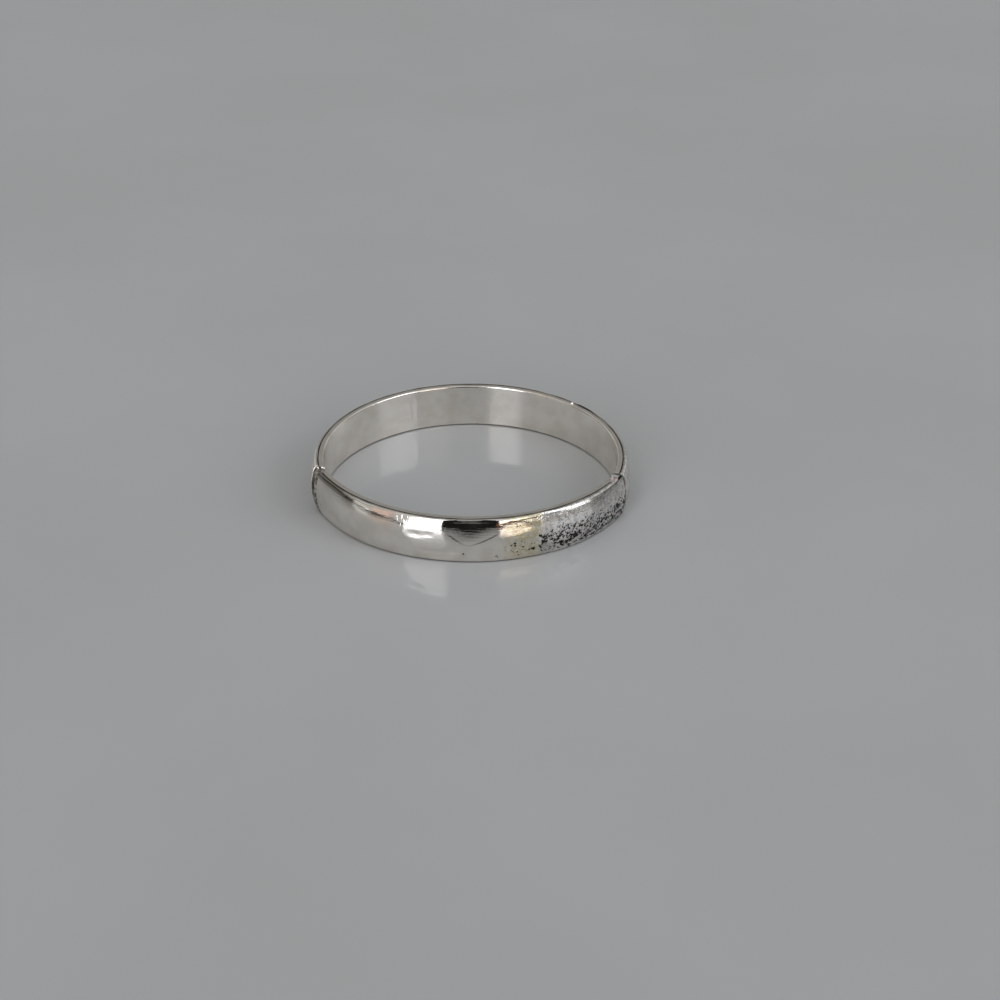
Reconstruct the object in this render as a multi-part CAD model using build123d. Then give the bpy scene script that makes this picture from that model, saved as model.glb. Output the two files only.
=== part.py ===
from build123d import *
import os
from math import atan2, cos, degrees, radians, sin, sqrt, tan

# Hinged hollow bangle. It lies on its lower rim, with the origin under the middle of the ring and +Z up.
# The back half is fixed. The front half swings open about the hinge pin, and a sprung tongue holds it shut.

# ---- band, in millimetres ----
BAND_HEIGHT = 9.3
BAND_THICKNESS = 2.75       # inner wall to the crown of the dome
RIM_WIDTH = 1.8             # rim at top and bottom, with the liner's edge, before it is rounded
RIM_ROUND = 0.8             # rounding from the rims into the dome
INNER_EASE = 0.3            # bevel on the edges of the inner wall
LINER_THICKNESS = 1.05
SHELL_WALL = 0.3
END_PLATE = 0.4
LINER_BEVEL = 0.08          # bevel that leaves the seam groove between liner and shell
BACK_RADIUS = 29.5          # inner radius of the back half
FRONT_RADIUS = 32.0         # inner radius of the flatter front half

# ---- where the halves meet, in degrees about the back half's centre, from +X ----
HINGE_ANGLE = 193.5
CLASP_ANGLE = -16.5
OVERRUN = 5.0               # extra sweep that the joint planes trim off
CLASP_GAP = 0.1

# ---- hinge ----
HINGE_SETBACK = 0.95        # pin axis to each end plate
HINGE_PLATE = 0.5           # end plates at the hinge, hollowed by the barrel's seat
LINER_SETBACK = 0.3         # pin axis to the liners' ends
PIN_INSET = 0.95            # inner wall to pin axis
PIN_RADIUS = 0.3
PIN_CLEARANCE = 0.04
PIN_HEAD_RADIUS = 0.42
PIN_HEAD_HEIGHT = 0.22
HEAD_RECESS = 0.03          # pin heads sit this far inside the rims
BARREL_RADIUS = 1.1
BARREL_EDGE = 0.15
SEAT_CLEARANCE = 0.1        # barrel to the hollowed ends of the halves
KNUCKLE_GAP = 0.1
WEB_WIDTH = 0.8

# ---- tongue: a V-folded strip on the front half, with its fold inside the back half ----
TONGUE_WIDTH = 0.5
TONGUE_INSET = 1.97         # inner wall to the tongue's middle, at the joint
SHEET = 0.2
FOLD_REACH = 2.6            # joint to fold axis
FOLD_HEIGHT = 5.0           # rim to fold axis
FOLD_INNER = 0.22
ROOT_RADIUS = 0.17
LEAF_SLOPE = 14.0
STEP_START = 0.7
STEP_HEIGHT = 0.5
STEP_RAMP = 1.3
SIDE_CLEARANCE = 0.1
WINDOW_TOP = 0.83           # above the fold axis
FOOT_DROP = 1.2
FOOT_THICKNESS = 0.25

# ---- thumb tab and the notch that it stands in ----
NECK_INNER = 1.2
NECK_OUTER = 2.2
NECK_LOW = 0.55             # above the fold axis
NECK_HIGH = 0.85
RIDGE_NEAR = 0.4            # joint to ridge
RIDGE_FAR = 1.1
RIDGE_PROUD = 0.25          # ridge above the rim
STEM_INNER = 1.2
STEM_OUTER = 1.55
HEAD_INNER = -0.25          # the head stands inside the inner wall by this much
HEAD_OUTER = 1.55
HEAD_LOW = 7.7
THUMB_REST_LOW = 8.35
THUMB_REST_HIGH = 8.75
THUMB_REST_END = 2.4
TAB_ROUND = 0.12
NOTCH_OUTER = 1.9
NOTCH_LENGTH = 3.1
NOTCH_FLOOR = 7.0
NOTCH_ROUND = 0.45

# ---- small features ----
VENT_RADIUS = 0.2
VENT_ANGLE = -92.0
VENT_HEIGHT = 2.3
BEAD_RADIUS = 0.32
BEAD_ANGLE = 46.0
BEAD_INSET = 0.65

CUTTER = 8.0                # half size of the blocks that trim ends
UP = (0, 0, 1)

# ---- worked out from the above ----
half_rise = BAND_HEIGHT / 2
bulge = BAND_THICKNESS - RIM_WIDTH
dome_radius = (half_rise**2 + bulge**2) / (2 * bulge)
dome_centre = BAND_THICKNESS - dome_radius


def polar(radius, angle):
    """Point in the floor plane at a radius and an angle in degrees."""
    return Vector(radius * cos(radians(angle)), radius * sin(radians(angle)), 0)


def bearing(vector):
    """Angle of a direction in the floor plane, in degrees from +X."""
    return degrees(atan2(vector.Y, vector.X))


def front_centre_offset():
    """Centre of the front arc, which meets the back arc at both joints, from the back arc's centre."""
    hinge = polar(BACK_RADIUS, HINGE_ANGLE)
    clasp = polar(BACK_RADIUS, CLASP_ANGLE)
    chord = clasp - hinge
    inward = Vector(-chord.Y, chord.X, 0).normalized()
    return (hinge + clasp) / 2 + inward * sqrt(FRONT_RADIUS**2 - (chord.length / 2) ** 2)


ring_front = front_centre_offset().Y - FRONT_RADIUS - BAND_THICKNESS
ring_back = BACK_RADIUS + BAND_THICKNESS
back_centre = Vector(0, -(ring_front + ring_back) / 2, 0)
front_centre = back_centre + front_centre_offset()


def wall_frame(centre, point):
    """Frame on the inner wall: X outward from the arc's centre, Y along the band anticlockwise, Z up."""
    return Plane(origin=point, x_dir=point - centre, z_dir=UP)


clasp_point = back_centre + polar(BACK_RADIUS, CLASP_ANGLE)
hinge_point = back_centre + polar(BACK_RADIUS, HINGE_ANGLE)
clasp = wall_frame(back_centre, clasp_point)            # +Y towards the back half
notch_frame = wall_frame(front_centre, clasp_point)     # the same point, turned to follow the front half
hinge = wall_frame(back_centre, hinge_point)            # +Y towards the front half
pin_frame = Plane(origin=hinge.from_local_coords((PIN_INSET, 0, 0)), x_dir=hinge.x_dir, z_dir=UP)
mouth = clasp.from_local_coords((TONGUE_INSET, 0, 0))
tongue = Plane(origin=mouth, x_dir=mouth - pin_frame.origin, z_dir=UP)     # +Y is the way the tongue enters
tongue_side = Plane(origin=mouth, x_dir=tongue.y_dir, z_dir=tongue.x_dir)  # X along the tongue, Y up


def block(frame, x, y, z):
    """Box in a frame, from (low, high) along each of its axes."""
    box = Box(x[1] - x[0], y[1] - y[0], z[1] - z[0])
    return frame * Pos((x[0] + x[1]) / 2, (y[0] + y[1]) / 2, (z[0] + z[1]) / 2) * box


def slab(frame, low, high):
    """Block across the whole band, between two distances along it."""
    return block(frame, (-CUTTER, CUTTER), (low, high), (-CUTTER, BAND_HEIGHT + CUTTER))


def barrel_seat():
    """Space that the ends of both halves leave round the hinge barrel."""
    return pin_frame * Pos(0, 0, half_rise) * Cylinder(BARREL_RADIUS + SEAT_CLEARANCE, 2 * BAND_HEIGHT)


# ---- sections of the band: X from the inner wall, Y up ----
def dome_section(inner, inset):
    """Area from a flat inner side to the domed outer side, with its rims and dome moved in by inset."""
    radius = dome_radius - inset
    rim = dome_centre + sqrt(radius**2 - (half_rise - inset) ** 2)
    low = (rim, inset)
    high = (rim, BAND_HEIGHT - inset)
    dome = ThreePointArc(low, (dome_centre + radius, half_rise), high)
    sides = Polyline(high, (inner, high[1]), (inner, inset), low)
    area = make_face(Curve() + [dome, sides])
    return fillet(area.vertices().sort_by(Axis.X)[-2:], RIM_ROUND - inset)


def whole_section():
    """The band's full outline, with the edges of its inner wall eased."""
    outline = dome_section(0, 0)
    return chamfer(outline.vertices().sort_by(Axis.X)[:2], INNER_EASE)


def shell_section():
    return dome_section(LINER_THICKNESS, 0) - dome_section(LINER_THICKNESS, SHELL_WALL)


def liner_section():
    strip = Pos(LINER_THICKNESS / 2, half_rise) * Rectangle(LINER_THICKNESS, BAND_HEIGHT)
    eased = chamfer(strip.vertices().sort_by(Axis.X)[:2], INNER_EASE)
    return chamfer(eased.vertices().sort_by(Axis.X)[-2:], LINER_BEVEL)


def sweep_band(section, centre, radius, start, end):
    """Turn a section of the band about an arc's centre, between two points of its inner wall."""
    start_angle = bearing(start - centre) - OVERRUN
    end_angle = bearing(end - centre) + OVERRUN
    outward = polar(1, start_angle)
    frame = Plane(origin=centre + outward * radius, x_dir=outward, z_dir=(outward.Y, -outward.X, 0))
    return revolve(frame * section, axis=Axis(centre, UP), revolution_arc=(end_angle - start_angle) % 360)


# ---- back half ----
def back_band(section):
    return sweep_band(section, back_centre, BACK_RADIUS, clasp_point, hinge_point)


def trim_back(solid, hinge_end):
    """Cut the back half at its catch plate, and at a distance from the hinge pin."""
    past_clasp = slab(clasp, -CUTTER, CLASP_GAP / 2 + END_PLATE)
    past_hinge = slab(hinge, -hinge_end, CUTTER)
    return solid - past_clasp - past_hinge - barrel_seat()


def back_hinge_plate():
    ends = slab(hinge, -HINGE_SETBACK - HINGE_PLATE, -HINGE_SETBACK)
    return (back_band(dome_section(LINER_THICKNESS, 0)) & ends) - barrel_seat()


def back_catch_plate():
    """End plate with the window that the tongue enters by."""
    plate = back_band(whole_section()) & slab(clasp, CLASP_GAP / 2, CLASP_GAP / 2 + END_PLATE)
    side = TONGUE_WIDTH / 2 + SIDE_CLEARANCE
    low = FOLD_HEIGHT - FOLD_INNER - SHEET - SIDE_CLEARANCE
    return plate - block(tongue, (-side, side), (-CUTTER, CUTTER), (low, FOLD_HEIGHT + WINDOW_TOP))


def solder_bead():
    """Drop of solder left standing on the liner's top edge."""
    place = back_centre + polar(BACK_RADIUS + BEAD_INSET, BEAD_ANGLE)
    upright = (Align.CENTER, Align.CENTER, Align.MIN)
    return Pos(place.X, place.Y, BAND_HEIGHT) * Sphere(BEAD_RADIUS, arc_size1=0, align=upright)


# ---- front half ----
def front_band(section):
    return sweep_band(section, front_centre, FRONT_RADIUS, hinge_point, clasp_point)


def trim_front(solid, hinge_end):
    """Cut the front half at a distance from the hinge pin, and at its clasp plate."""
    past_hinge = slab(hinge, -CUTTER, hinge_end)
    past_clasp = slab(clasp, -CLASP_GAP / 2 - END_PLATE, CUTTER)
    return solid - past_hinge - past_clasp - barrel_seat()


def notch():
    """Space in the top rim for the thumb tab, open to the inside and to the joint."""
    space = block(
        notch_frame,
        (-CUTTER, NOTCH_OUTER),
        (-NOTCH_LENGTH, CUTTER),
        (NOTCH_FLOOR, BAND_HEIGHT + CUTTER),
    )
    corner = space.edges().filter_by(Axis.Z).sort_by_distance(
        notch_frame.from_local_coords((NOTCH_OUTER, -NOTCH_LENGTH, BAND_HEIGHT))
    )[0]
    return fillet(corner, NOTCH_ROUND)


def vent():
    """Small hole through the shell, which lets gas out while the hollow is soldered."""
    outward = polar(1, VENT_ANGLE)
    place = front_centre + outward * (FRONT_RADIUS + BAND_THICKNESS)
    frame = Plane(origin=(place.X, place.Y, VENT_HEIGHT), z_dir=outward)
    return frame * Cylinder(VENT_RADIUS, 5 * SHELL_WALL)


def front_hinge_plate():
    ends = slab(hinge, HINGE_SETBACK, HINGE_SETBACK + HINGE_PLATE)
    return (front_band(dome_section(LINER_THICKNESS, 0)) & ends) - barrel_seat()


def front_clasp_plate():
    """End plate that the tongue is soldered into, with room for the leaf and the tab's neck to drop."""
    plate = front_band(whole_section()) & slab(clasp, -CLASP_GAP / 2 - END_PLATE, -CLASP_GAP / 2)
    side = TONGUE_WIDTH / 2 + SIDE_CLEARANCE
    fold_low = FOLD_HEIGHT - FOLD_INNER - SHEET
    high = FOLD_HEIGHT + NECK_HIGH + SIDE_CLEARANCE
    leaf_way = block(tongue, (-side, side), (-CUTTER, CUTTER), (fold_low, high))
    neck_way = block(
        clasp,
        (NECK_INNER - SIDE_CLEARANCE, NECK_OUTER + SIDE_CLEARANCE),
        (-CUTTER, CUTTER),
        (FOLD_HEIGHT, high),
    )
    return plate - leaf_way - neck_way - notch()


# ---- hinge ----
def barrel(low, high, bore, side, band_end, outline):
    """Knuckle filed to the band's outline, with the web to its half. Side is +1 towards the front half."""
    height = high - low
    base = (Align.CENTER, Align.CENTER, Align.MIN)
    reach = HINGE_SETBACK + HINGE_PLATE
    tube = Cylinder(BARREL_RADIUS, height, align=base)
    tube = chamfer(tube.edges().filter_by(GeomType.CIRCLE), BARREL_EDGE)
    web = Pos(0, side * reach / 2, height / 2) * Box(WEB_WIDTH, reach, height)
    hole = Cylinder(bore, height, align=base)
    return (pin_frame * Pos(0, 0, low) * (tube + web - hole) & outline) - band_end


def knuckles(back_end, front_end):
    """Lower, middle and upper knuckles, stacked on the pin."""
    low = HEAD_RECESS + PIN_HEAD_HEIGHT
    third = (BAND_HEIGHT - 2 * low - 2 * KNUCKLE_GAP) / 3
    middle = low + third + KNUCKLE_GAP
    upper = middle + third + KNUCKLE_GAP
    outline = back_band(whole_section()) + front_band(whole_section())
    return (
        barrel(low, low + third, PIN_RADIUS, -1, back_end, outline),
        barrel(middle, middle + third, PIN_RADIUS + PIN_CLEARANCE, 1, front_end, outline),
        barrel(upper, upper + third, PIN_RADIUS, -1, back_end, outline),
    )


def hinge_pin():
    """Riveted pin: a shaft with a low head at each end."""
    shaft_height = BAND_HEIGHT - 2 * HEAD_RECESS
    shaft = Pos(0, 0, half_rise) * Cylinder(PIN_RADIUS, shaft_height)
    head = Cylinder(PIN_HEAD_RADIUS, PIN_HEAD_HEIGHT)
    head_middle = HEAD_RECESS + PIN_HEAD_HEIGHT / 2
    return pin_frame * (shaft + Pos(0, 0, head_middle) * head + Pos(0, 0, BAND_HEIGHT - head_middle) * head)


# ---- tongue ----
def strip(profile):
    """Profile in the tongue's side plane, given the tongue's width."""
    return extrude(tongue_side * profile, amount=TONGUE_WIDTH / 2, both=True)


def tongue_base():
    """Lower leaf, the fold round the spring leaf's root, and the foot soldered to the end plate."""
    fold = Circle(FOLD_INNER + SHEET) - Circle(FOLD_INNER)
    fold -= Pos(-FOLD_REACH, 0) * Rectangle(2 * FOLD_REACH, 2 * FOLD_REACH)
    curl = strip(Pos(FOLD_REACH, FOLD_HEIGHT) * fold)
    low = FOLD_HEIGHT - FOLD_INNER - SHEET
    half_width = TONGUE_WIDTH / 2
    leaf = block(tongue, (-half_width, half_width), (-CUTTER, FOLD_REACH), (low, low + SHEET))
    plate_face = -CLASP_GAP / 2 - END_PLATE
    leaf -= slab(clasp, -2 * CUTTER, plate_face)
    foot = block(
        clasp,
        (NECK_INNER, NECK_OUTER),
        (plate_face - FOOT_THICKNESS, plate_face),
        (low - FOOT_DROP, low + SHEET),
    )
    return curl + leaf + foot


def spring_leaf():
    """Upper leaf, which turns about the fold, with the step that catches behind the back half's end plate."""
    rise = tan(radians(LEAF_SLOPE))
    half_sheet = SHEET / 2 / cos(radians(LEAF_SLOPE))

    def centre_height(along):
        return FOLD_HEIGHT + (FOLD_REACH - along) * rise

    end = centre_height(0)
    bar = Polygon(
        (FOLD_REACH, FOLD_HEIGHT - half_sheet),
        (FOLD_REACH, FOLD_HEIGHT + half_sheet),
        (0, end + half_sheet),
        (0, end - half_sheet),
        align=None,
    )
    step_end = STEP_START + STEP_RAMP
    step = Polygon(
        (STEP_START, centre_height(STEP_START)),
        (STEP_START, centre_height(STEP_START) + half_sheet + STEP_HEIGHT),
        (step_end, centre_height(step_end) + half_sheet),
        (step_end, centre_height(step_end)),
        align=None,
    )
    root = Pos(FOLD_REACH, FOLD_HEIGHT) * Circle(ROOT_RADIUS)
    neck = block(
        clasp,
        (NECK_INNER, NECK_OUTER),
        (-RIDGE_FAR, SIDE_CLEARANCE / 4),
        (FOLD_HEIGHT + NECK_LOW, FOLD_HEIGHT + NECK_HIGH),
    )
    return strip(bar + step + root) + neck


def thumb_tab():
    """Stem on the leaf's end, a ridge across the rim, and a lower rest for the thumbnail behind it."""
    stem = block(
        notch_frame,
        (STEM_INNER, STEM_OUTER),
        (-RIDGE_FAR, -RIDGE_NEAR),
        (FOLD_HEIGHT + NECK_HIGH, HEAD_LOW),
    )
    ridge = block(
        notch_frame,
        (HEAD_INNER, HEAD_OUTER),
        (-RIDGE_FAR, -RIDGE_NEAR),
        (HEAD_LOW, BAND_HEIGHT + RIDGE_PROUD),
    )
    ridge = fillet(ridge.edges().group_by(Axis.Z)[-1], TAB_ROUND)
    rest = block(
        notch_frame,
        (HEAD_INNER, HEAD_OUTER),
        (-THUMB_REST_END, -RIDGE_FAR),
        (THUMB_REST_LOW, THUMB_REST_HIGH),
    )
    return stem + ridge + rest


def main():
    os.makedirs("parts", exist_ok=True)
    shell_end = HINGE_SETBACK + HINGE_PLATE
    back_plate = back_hinge_plate()
    back_liner = trim_back(back_band(liner_section()), LINER_SETBACK)
    front_plate = front_hinge_plate()
    front_liner = trim_front(front_band(liner_section()), LINER_SETBACK) - notch()
    lower, middle, upper = knuckles(back_plate + back_liner, front_plate + front_liner)
    parts = {
        "back_shell": trim_back(back_band(shell_section()), shell_end),
        "back_liner": back_liner,
        "back_hinge_plate": back_plate,
        "back_catch_plate": back_catch_plate(),
        "solder_bead": solder_bead(),
        "hinge_knuckle_lower": lower,
        "hinge_knuckle_upper": upper,
        "hinge_pin": hinge_pin(),
        "front_shell": trim_front(front_band(shell_section()), shell_end) - notch() - vent(),
        "front_liner": front_liner,
        "front_hinge_plate": front_plate,
        "front_clasp_plate": front_clasp_plate(),
        "hinge_knuckle_middle": middle,
        "tongue_base": tongue_base(),
        "spring_leaf": spring_leaf(),
        "thumb_tab": thumb_tab(),
    }
    for node, solid in parts.items():
        export_step(solid, f"parts/{node}.step")
    fold_axis = tongue.from_local_coords((0, FOLD_REACH, FOLD_HEIGHT))
    print("hinge axis", pin_frame.origin)
    print("fold axis", fold_axis, "direction", tongue.x_dir)
    print("back centre", back_centre, "front centre", front_centre)


main()
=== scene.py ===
import math
import random
from collections import namedtuple

import bmesh
import bpy
import numpy as np
from mathutils import Matrix, Vector
from mathutils.geometry import tessellate_polygon


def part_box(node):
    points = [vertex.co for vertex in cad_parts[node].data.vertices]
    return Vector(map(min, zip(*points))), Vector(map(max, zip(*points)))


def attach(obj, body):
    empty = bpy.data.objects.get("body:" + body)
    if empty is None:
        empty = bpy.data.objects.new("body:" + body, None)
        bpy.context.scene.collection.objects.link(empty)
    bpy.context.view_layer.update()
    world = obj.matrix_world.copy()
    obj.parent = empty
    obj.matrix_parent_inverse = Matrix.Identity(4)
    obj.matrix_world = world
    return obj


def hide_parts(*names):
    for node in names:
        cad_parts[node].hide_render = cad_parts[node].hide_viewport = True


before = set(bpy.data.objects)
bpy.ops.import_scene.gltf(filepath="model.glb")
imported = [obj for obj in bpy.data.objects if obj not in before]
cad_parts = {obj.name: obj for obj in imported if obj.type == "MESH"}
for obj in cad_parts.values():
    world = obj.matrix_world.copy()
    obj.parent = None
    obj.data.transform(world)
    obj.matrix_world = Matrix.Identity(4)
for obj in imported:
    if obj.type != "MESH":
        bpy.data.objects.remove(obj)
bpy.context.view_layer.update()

MM = 0.001

# ---- the band's section: x from the inner wall outwards, z from the lower rim ----
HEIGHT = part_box("back_liner")[1].z
THICKNESS = 2.75 * MM
RIM = 1.8 * MM
LINER = 1.05 * MM
WALL = 0.3 * MM
RIM_SOFTENING = 0.53 * MM       # how far the rounding into the dome starts from the rim's corner, back half
FRONT_RIM_SOFTENING = 0.26 * MM
INNER_SOFTENING = 0.37 * MM     # the same at the inner wall's edges in the back half
FRONT_INNER_SOFTENING = 0.16 * MM
SEAM_SOFTENING = 0.08 * MM      # the same where the liner meets the shell
WALL_MARGIN = 0.5 * MM          # from a rim to the first point of the liner's inner wall
GROOVE_WIDTH = 0.14 * MM        # seam between shell and liner, on both rims
GROOVE_DEPTH = 0.24 * MM
GROOVE_LAND = 0.2 * MM          # from the seam to where the rim is level again

# ---- how finely the meshes are divided ----
DOME_POINTS = 92                # up the domed side
CHANNEL_POINTS = 12             # up the shell's inside
SHELL_CORNER_POINTS = 7
LINER_CORNER_POINTS = 9
LINER_WALL_POINTS = 24
PIT_STEP = 0.1 * MM             # along the band, where there are pits
SHELL_STEP = 0.2 * MM
PLAIN_SHELL_STEP = 0.4 * MM     # along the back half's shell, away from the pits
LINER_STEP = 0.2 * MM
FRONT_LINER_STEP = 0.35 * MM
CUT_SAMPLES = 3000              # angles tried to find where a section point is trimmed

# ---- where the halves end ----
FRONT_RADIUS = 32.0 * MM
HINGE_ANGLE = 193.5             # about the back half's centre, from +X
CLASP_ANGLE = -16.5
HALF_GAP = 0.05 * MM
END_PLATE = 0.4 * MM
BACK_CLASP_SEARCH = (10.0, CLASP_ANGLE - 6)     # each half's end lies between these two angles
BACK_HINGE_SEARCH = (170.0, HINGE_ANGLE + 6)
FRONT_HINGE_SEARCH = (-140.0, -175.0)
FRONT_LINER_SEARCH = (-140.0, -178.0)
FRONT_CLASP_SEARCH = (-45.0, -15.0)
HINGE_SETBACK = 0.95 * MM
HINGE_PLATE = 0.5 * MM
LINER_SETBACK = 0.3 * MM        # of the liners' hinge ends
PIN_INSET = 0.95 * MM
SEAT_RADIUS = 1.2 * MM
SOLDER_SINK = 0.12 * MM         # from the underside of the CAD's bead down to the solder's flat underside
SOLDER_ROUGHNESS = 0.6

# ---- thumb tab's notch and the vent, in the front half ----
NOTCH_OUTER = 1.9 * MM
NOTCH_LENGTH = 3.1 * MM
NOTCH_FLOOR = 7.0 * MM
NOTCH_ROUND = 0.45 * MM
CUT_PAST = 4 * MM               # how far the notch's cutter reaches past the band
VENT_ANGLE = -92.0
VENT_HEIGHT = 2.3 * MM
VENT_RADIUS = 0.2 * MM

# ---- wear ----
PATCH_START = -67.0             # pitted patch, about the front half's centre, up to the clasp and past it
PATCH_END = 10.0
STAIN_START = PATCH_START - 15  # olive stain beside the patch
FOOT_SHADE_HEIGHT = 0.42 * MM          # height of the painted contact shade along the lower rim
PAINTED_REFLECTION_END = -135.0            # painted dark reflection on the front half's shoulder, from the hinge to here
HINGE_STAIN_END = -152.0        # blotchy end of the front half, from the hinge to here
GAP_START = 33.0                # seam that has sprung open beside the solder bead
GAP_END = 44.5
GAP_WIDTH = 0.4 * MM
GAP_TAPER = 6.0

dome_bulge = THICKNESS - RIM
dome_radius = ((HEIGHT / 2) ** 2 + dome_bulge ** 2) / (2 * dome_bulge)

Arc = namedtuple("Arc", "x y radius")


def turn(angle):
    """Unit vector in the floor plane, from an angle in degrees."""
    return np.array((math.cos(math.radians(angle)), math.sin(math.radians(angle))))


# ---- the two arcs, found from the frame ----
liner_low, liner_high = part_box("back_liner")
back_outer = (liner_high.x - liner_low.x) / 2
back = Arc((liner_low.x + liner_high.x) / 2, liner_high.y - back_outer, back_outer - LINER)
clasp_point = np.array(back[:2]) + back.radius * turn(CLASP_ANGLE)
hinge_point = np.array(back[:2]) + back.radius * turn(HINGE_ANGLE)
pin_point = hinge_point + PIN_INSET * turn(HINGE_ANGLE)
to_back = turn(CLASP_ANGLE + 90)        # along the band at the clasp, into the back half
to_front = turn(HINGE_ANGLE + 90)       # along the band at the hinge, into the front half
chord = clasp_point - hinge_point
half_chord = np.linalg.norm(chord) / 2
rise = math.sqrt(FRONT_RADIUS ** 2 - half_chord ** 2)
front_xy = (clasp_point + hinge_point) / 2 + rise * np.array((-chord[1], chord[0])) / (2 * half_chord)
front = Arc(front_xy[0], front_xy[1], FRONT_RADIUS)


# ---- meshes swept round the arcs ----
def line(arc, x, angles):
    """Points of the floor plane at a distance outside the inner wall."""
    reach = arc.radius + x
    return np.stack((arc.x + reach * np.cos(angles), arc.y + reach * np.sin(angles)), -1)


def past(point, along, distance):
    """Test that is positive beyond a plane across the band."""
    return lambda p: (p - point) @ along - distance


def clear_of_barrel(p):
    return np.linalg.norm(p - pin_point, axis=-1) - SEAT_RADIUS


def trimmed(arc, xs, tests, inside, outside):
    """Where each of the section's points leaves what the tests keep, on the way from inside to outside.

    Both ends of the search are in degrees, and the angles found are in radians.
    """
    angles = np.linspace(math.radians(inside), math.radians(outside), CUT_SAMPLES)
    ends = []
    for x in xs:
        kept = np.min([test(line(arc, x, angles)) for test in tests], axis=0)
        first = int(np.argmax(kept < 0))
        share = kept[first - 1] / (kept[first - 1] - kept[first])
        ends.append(angles[first - 1] + share * (angles[first] - angles[first - 1]))
    return np.array(ends)


def stations(arc, start, end, spacing):
    """Shares of the way from start to end, as far apart along the band as spacing(degrees) says."""
    found = [start]
    while found[-1] < end:
        found.append(found[-1] + spacing(math.degrees(found[-1])) / arc.radius)
    found = np.array(found)
    return (found - start) / (found[-1] - start)


def sweep(name, arc, section, starts, ends, shares, detail):
    """Closed solid with a section swept round an arc.

    detail gives each vertex's offsets, outwards and upwards, and its named attributes.
    """
    xs, zs = section[:, 0], section[:, 1]
    steps = np.roll(section, -1, 0) - np.roll(section, 1, 0)
    normals = np.stack((steps[:, 1], -steps[:, 0]), -1)
    normals /= np.linalg.norm(normals, axis=1)[:, None]
    angles = starts[None, :] + shares[:, None] * (ends - starts)[None, :]
    grid_x = np.broadcast_to(xs, angles.shape)
    grid_z = np.broadcast_to(zs, angles.shape)
    shift_x, shift_z, attributes = detail(angles, grid_x, grid_z, normals)
    reach = arc.radius + grid_x + shift_x
    verts = np.stack((arc.x + reach * np.cos(angles), arc.y + reach * np.sin(angles), grid_z + shift_z), -1)
    rows, columns = angles.shape
    index = np.arange(rows * columns).reshape(rows, columns)
    beside = np.roll(index, -1, 1)
    faces = np.stack((index[:-1], index[1:], beside[1:], beside[:-1]), -1).reshape(-1, 4).tolist()
    caps = tessellate_polygon([[Vector((x, z, 0)) for x, z in section]])
    for a, b, c in caps:
        corner = np.cross(section[b] - section[a], section[c] - section[a])
        a, b, c = (a, b, c) if corner > 0 else (a, c, b)
        faces.append([int(index[0][i]) for i in (a, b, c)])
        faces.append([int(index[-1][i]) for i in (a, c, b)])
    mesh = bpy.data.meshes.new(name)
    mesh.from_pydata(verts.reshape(-1, 3).tolist(), [], faces)
    for key, values in attributes.items():
        layer = mesh.attributes.new(key, "FLOAT", "POINT")
        layer.data.foreach_set("value", np.ascontiguousarray(values, np.float32).ravel())
    fix = bmesh.new()
    fix.from_mesh(mesh)
    bmesh.ops.recalc_face_normals(fix, faces=fix.faces)
    fix.to_mesh(mesh)
    fix.free()
    mesh.shade_smooth()
    return linked(name, mesh)


def linked(name, mesh):
    """New object with a mesh, in the scene."""
    obj = bpy.data.objects.new(name, mesh)
    bpy.context.scene.collection.objects.link(obj)
    return obj


def dome_line(inset, count):
    """Points up the domed side, from the lower rim's corner to the upper one's."""
    radius = dome_radius - inset
    half = HEIGHT / 2 - inset
    tilt = np.linspace(-math.asin(half / radius), math.asin(half / radius), count)
    return np.stack((THICKNESS - dome_radius + radius * np.cos(tilt), HEIGHT / 2 + radius * np.sin(tilt)), -1)


def softened(before, corner, after, count):
    """Points round a corner, between two points on its sides."""
    t = np.linspace(0, 1, count)[:, None]
    return (1 - t) ** 2 * before + 2 * t * (1 - t) * corner + t ** 2 * after


def shell_section(rim_soft):
    """The shell's open channel, from the lower seam round the dome to the upper seam and back inside."""
    dome = dome_line(0, DOME_POINTS)
    across = np.abs(dome[:, 1] - HEIGHT / 2) < HEIGHT / 2 - rim_soft
    dome = dome[across]
    low = np.array((RIM, 0.0))
    high = np.array((RIM, HEIGHT))
    inward = np.array((rim_soft, 0))
    outer = [
        [(LINER, GROOVE_DEPTH), (LINER + GROOVE_WIDTH, 0), (LINER + GROOVE_LAND, 0)],
        softened(low - inward, low, dome[0], SHELL_CORNER_POINTS)[:-1],
        dome,
        softened(dome[-1], high, high - inward, SHELL_CORNER_POINTS)[1:],
        [(LINER + GROOVE_LAND, HEIGHT), (LINER + GROOVE_WIDTH, HEIGHT), (LINER, HEIGHT - GROOVE_DEPTH)],
    ]
    inner = dome_line(WALL, CHANNEL_POINTS)[::-1]
    channel = [[(LINER, HEIGHT - WALL)], inner, [(LINER, WALL)]]
    return np.concatenate([np.array(part, float) for part in outer + channel])


def liner_section(inner_soft):
    """Flat strip with softened edges, its two inner edges more or less worn."""
    corners = [(0, 0), (LINER, 0), (LINER, HEIGHT), (0, HEIGHT)]
    points = []
    for i, corner in enumerate(corners):
        corner = np.array(corner, float)
        soft = SEAM_SOFTENING if corner[0] else inner_soft
        before = np.array(corners[i - 1], float) - corner
        after = np.array(corners[(i + 1) % 4], float) - corner
        points.append(softened(
            corner + soft * before / np.linalg.norm(before),
            corner,
            corner + soft * after / np.linalg.norm(after),
            LINER_CORNER_POINTS,
        ))
    wall = np.linspace(HEIGHT - WALL_MARGIN, WALL_MARGIN, LINER_WALL_POINTS)
    points.append(np.stack((np.zeros_like(wall), wall), -1))
    return np.concatenate(points)


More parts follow.
